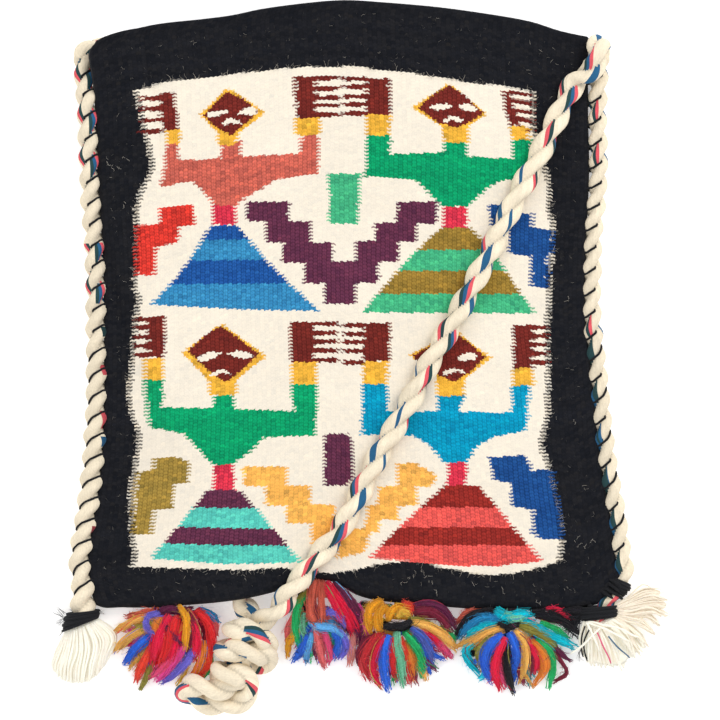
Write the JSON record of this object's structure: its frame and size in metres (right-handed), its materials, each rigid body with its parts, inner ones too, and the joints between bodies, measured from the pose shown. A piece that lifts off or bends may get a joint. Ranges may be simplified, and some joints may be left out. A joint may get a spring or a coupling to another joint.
{
  "type": "woven shoulder bag",
  "caption": "Flat open-top handwoven wool shoulder bag with a woven folk picture, rope-bound sides, a long twisted rope strap, rope tassels and yarn pompoms",
  "frame": {"origin": "centre of the bounding box of everything but the free strap, on the floor the bag lies on", "axes": "+X to the right of the front face, +Y from the bottom fold towards the open mouth, +Z out of the front face, which lies upwards"},
  "size_m": [0.3368, 0.3912, 0.0281],
  "materials": {
    "black_wool_cloth": "handwoven wool, matt, with a woven picture on the front face",
    "cotton_rope": "twisted undyed cotton with a few coloured yarns",
    "black_thread": "black cotton thread",
    "cotton_strands": "loose undyed cotton strands",
    "pompom_yarn_1": "fluffy wool yarn, mostly red and crimson",
    "pompom_yarn_2": "fluffy wool yarn, purple, blue and green",
    "pompom_yarn_3": "fluffy wool yarn, red, blue and gold",
    "pompom_yarn_4": "fluffy wool yarn, turquoise, blue and gold",
    "tie_yarn_1": "orange wool yarn",
    "tie_yarn_2": "crimson wool yarn",
    "tie_yarn_3": "gold wool yarn",
    "tie_yarn_4": "black wool yarn",
    "strap_rope": "twisted undyed cotton with a few coloured yarns"
  },
  "bodies": {
    "root": {"bag_cloth": "black_wool_cloth", "side_rope_left": "cotton_rope", "side_rope_right": "cotton_rope", "stitching_left": "black_thread", "stitching_right": "black_thread", "binding_left": "black_thread", "binding_right": "black_thread", "tassel_left": "cotton_strands", "tassel_right": "cotton_strands", "pompom_1": "pompom_yarn_1", "pompom_2": "pompom_yarn_2", "pompom_3": "pompom_yarn_3", "pompom_4": "pompom_yarn_4", "pompom_tie_1": "tie_yarn_1", "pompom_tie_2": "tie_yarn_2", "pompom_tie_3": "tie_yarn_3", "pompom_tie_4": "tie_yarn_4", "strap_front": "strap_rope", "strap_bundle": "strap_rope", "strap_back": "strap_rope"}
  },
  "joints": []
}
